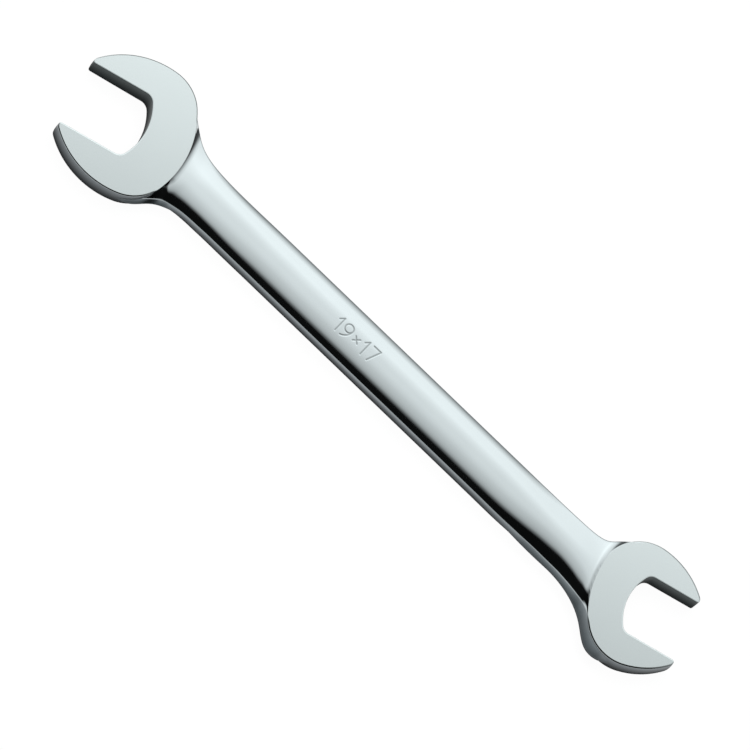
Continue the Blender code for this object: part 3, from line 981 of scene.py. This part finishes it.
# The slot's colour: partly its own finish, partly painted shade inside the slot.
SLOT_COLOUR = (0.085, 0.105, 0.105, 1)
# Painted shade: the near-black colour of the dull shader that is mixed into walls and slots.
PAINTED_SHADE_COLOUR = (0.006, 0.008, 0.009, 1)
CUT_COLOUR = (0.42, 0.45, 0.455, 1)
GRAIN = {"Scale": 2600.0, "Detail": 3.0, "Roughness": 0.6}
CLOUDS = {"Scale": 90.0, "Detail": 4.0, "Roughness": 0.55}
CLOUDY_SHARE = 0.955
WORN_SHARE = 1.06
CLOUD_ROUGHNESS = 0.05
GRAIN_ROUGHNESS = 0.03
WALL_ROUGHNESS = 0.30
CUT_ROUGHNESS = 0.25
RELIEF = 40.0
BUMP = {"Strength": 0.25, "Distance": 0.02 * MM}
# Shares of painted shade on the walls and in the slots; in the slots it eases off towards the top.
WALL_PAINTED_SHADE = 0.96
SLOT_PAINTED_SHADE = 0.94
SLOT_SHADE_TOP_EASE = 0.48
SLOT_FADE = 1.5


def shaded(colour, share):
    """An opaque colour, darkened or lightened by a share."""
    return (*(channel * share for channel in colour), 1)


def chrome(name, recipe, engraved=False):
    """A plated finish; walls dull and dark, partly painted shade; rims a little brighter; engravings dark.
    """
    material = bpy.data.materials.new(name)
    tree = Tree(material)
    place = tree.add("ShaderNodeTexCoord").out("Object")
    grain_place = tree.add("ShaderNodeMapping", None, {
        "Vector": place, "Scale": (recipe["stretch"], 1.0, 1.0)}).out("Vector")
    grain = tree.add("ShaderNodeTexNoise", None, {"Vector": grain_place, **GRAIN}).out("Fac")
    clouds = tree.add("ShaderNodeTexNoise", None, {"Vector": place, **CLOUDS}).out("Fac")
    wall, slot, worn, low = (tree.mark(key) for key in ("wall", "slot", "worn", "low"))

    colour = recipe["colour"]
    base = tree.mix(clouds, shaded(colour, CLOUDY_SHARE), shaded(colour, 1))
    base = tree.mix(worn, base, shaded(colour, WORN_SHARE))
    base = tree.mix(wall, base, recipe["wall"])
    base = tree.mix(slot, base, SLOT_COLOUR)
    rough = recipe["gloss"] + (clouds - 0.5) * CLOUD_ROUGHNESS + (grain - 0.5) * GRAIN_ROUGHNESS
    rough = rough + (wall + slot) * (WALL_ROUGHNESS - recipe["gloss"])
    if engraved:
        cut = tree.mark("cut")
        base = tree.mix(cut, base, CUT_COLOUR)
        rough = rough + cut * CUT_ROUGHNESS
    relief = grain * recipe["grain"] + clouds * recipe["grain"]
    bump = tree.add("ShaderNodeBump", None, {**BUMP, "Height": relief * RELIEF}).out("Normal")
    shader = tree.add("ShaderNodeBsdfPrincipled", None, {
        "Base Color": base, "Metallic": 1.0, "Roughness": rough, "Normal": bump}).out("BSDF")
    # Painted shade: a dark dull shader mixed into walls and slots, growing towards the bottom.
    dull = tree.add("ShaderNodeBsdfDiffuse", None, {"Color": PAINTED_SHADE_COLOUR}).out("BSDF")
    wall_painted_shade = wall * (1.0 - (1.0 - low) ** recipe["fade"]) * WALL_PAINTED_SHADE
    painted_shade = wall_painted_shade + slot * (SLOT_PAINTED_SHADE - (1.0 - low) ** SLOT_FADE * SLOT_SHADE_TOP_EASE)
    shader = tree.add("ShaderNodeMixShader", None, {0: painted_shade, 1: shader, 2: dull}).out("Shader")
    tree.add("ShaderNodeOutputMaterial", None, {"Surface": shader})
    return material


for piece, name, recipe in (
    (shank, "polished_chrome_finish", POLISH),
    (large_plate, "satin_chrome_finish_large", SATIN),
    (small_plate, "satin_chrome_finish_small", SATIN),
):
    piece.data.materials.append(chrome(name, recipe, engraved=piece is shank))
    print("finish:", name)

# %% [markdown]
# The three skins stand for the three CAD solids, which stay in the frame for collision.
# Nothing on the wrench moves, so all of them ride on its one body.

# %% Hand the skins to the frame
for piece, node, slot in (
    (large_plate, "large_head", "satin_chrome_large"),
    (shank, "shank", "polished_chrome"),
    (small_plate, "small_head", "satin_chrome_small"),
):
    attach(piece, "root")
    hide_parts(node)

# %% [markdown]
# Chrome shows what stands around it, so the studio is drawn in the world. It is a function
# of one angle, that of a ray about the wrench's length: a long bright panel behind, a dark
# gap overhead where the camera's side begins, and softer panels in front. It also dims a
# little from the large end to the small one, and behind the wrench towards both its ends.

# %% Studio in the world
STUDIO = (
    (-180, 0.30), (-128, 0.15), (-96, 0.42), (-76, 0.74), (-58, 0.80), (-47, 0.56),
    (-40, 0.10), (-36, 0.005), (0, 0.005), (4, 0.18), (8, 0.50), (12.6, 0.66), (19.2, 0.80),
    (23, 0.95), (26, 1.11), (31, 1.29), (45, 1.27), (53, 0.85), (58, 0.48), (64, 0.20),
    (80, 0.15), (120, 0.14), (156, 0.18), (180, 0.30),
)
BRIGHTEST = 1.30
TINT = (0.955, 1.0, 1.005)
SIDE_FALL = 1.1
SIDE_LIMIT = 0.12
END_START = 0.20
END_FALLS = ((1, 0.60, 0.86), (-1, 0.80, 0.50))
FRONT_END = math.radians(-50)
FRONT_EASE = math.radians(15)


def studio_world():
    """World strength along the angle atan2(Y, Z) of the ray, less a fall along X."""
    world = bpy.data.worlds.new("studio")
    bpy.context.scene.world = world
    tree = Tree(world)
    ray = tree.add("ShaderNodeTexCoord").out("Generated")
    parts = tree.add("ShaderNodeSeparateXYZ", None, {"Vector": ray})
    angle = tree.math("ARCTAN2", parts.out("Y"), parts.out("Z"))
    share = angle / (2 * math.pi) + 0.5
    stops = [((degrees + 180) / 360, tuple(level / BRIGHTEST * tone for tone in TINT))
             for degrees, level in STUDIO]
    ramp = tree.add("ShaderNodeValToRGB", {"stops": stops}, {"Fac": share}).out("Color")
    aside = tree.clamped(parts.out("X"), -SIDE_LIMIT, SIDE_LIMIT)
    strength = (1.0 - aside * SIDE_FALL) * BRIGHTEST
    behind = tree.clamped((angle - FRONT_END) / FRONT_EASE, 0.0, 1.0)
    for sign, width, fall in END_FALLS:
        end = tree.clamped((parts.out("X") * sign - END_START) / width, 0.0, 1.0)
        strength = strength * (1.0 - end * behind * fall)
    sky = tree.add("ShaderNodeBackground", None, {"Color": ramp, "Strength": strength}).out("Background")
    tree.add("ShaderNodeOutputWorld", None, {"Surface": sky})


studio_world()

# %% [markdown]
# The floor is plain and pale. A wide soft lamp above lights it and draws the wrench's soft
# shadow. Metal would show the lamp as a hard square, so the lamp is kept out of reflections,
# which come from the studio. For what the camera and the metal see, most of the floor is a
# glow of its own, so that it comes out white while a faint shadow stays.

# %% Floor and lamp
FLOOR_HALF = 3.0
FLOOR_DROP = 0.02 * MM
FLOOR_COLOUR = (0.80, 0.80, 0.80, 1)
GLOW_SHARE = 0.93
GLOW_STRENGTH = 1.03
LAMP_SIZE = 2.6
LAMP_POWER = 42.0
LAMP_PLACE = (-0.3, 0.6, 2.0)

corners = np.array(((-1, -1), (1, -1), (1, 1), (-1, 1))) * FLOOR_HALF
floor_points = np.column_stack((corners, np.full(4, -FLOOR_DROP)))
floor = make_piece("floor", floor_points, np.array(((0, 1, 2, 3),)), {})
floor_paint = bpy.data.materials.new("floor_paint")
tree = Tree(floor_paint)
path = tree.add("ShaderNodeLightPath")
seen = path.out("Is Camera Ray") + path.out("Is Glossy Ray") + path.out("Is Transmission Ray")
glow = tree.add("ShaderNodeEmission", None, {
    "Color": (1, 1, 1, 1), "Strength": GLOW_STRENGTH}).out("Emission")
paint = tree.add("ShaderNodeBsdfDiffuse", None, {"Color": FLOOR_COLOUR}).out("BSDF")
both = tree.add("ShaderNodeMixShader", None, {
    0: tree.math("MINIMUM", seen, 1.0) * GLOW_SHARE, 1: paint, 2: glow}).out("Shader")
tree.add("ShaderNodeOutputMaterial", None, {"Surface": both})
floor.data.materials.append(floor_paint)

lamp = bpy.data.objects.new("soft_lamp", bpy.data.lights.new("soft_lamp", "AREA"))
lamp.data.shape = "SQUARE"
lamp.data.size = LAMP_SIZE
lamp.data.energy = LAMP_POWER
lamp.location = LAMP_PLACE
lamp.rotation_euler = (-lamp.location).to_track_quat("-Z", "Y").to_euler()
lamp.visible_glossy = False
bpy.context.scene.collection.objects.link(lamp)
print("lamp in W:", lamp.data.energy)

# %% [markdown]
# Last comes the plain view setting.

# %% Finish
bpy.context.scene.view_settings.view_transform = "Standard"
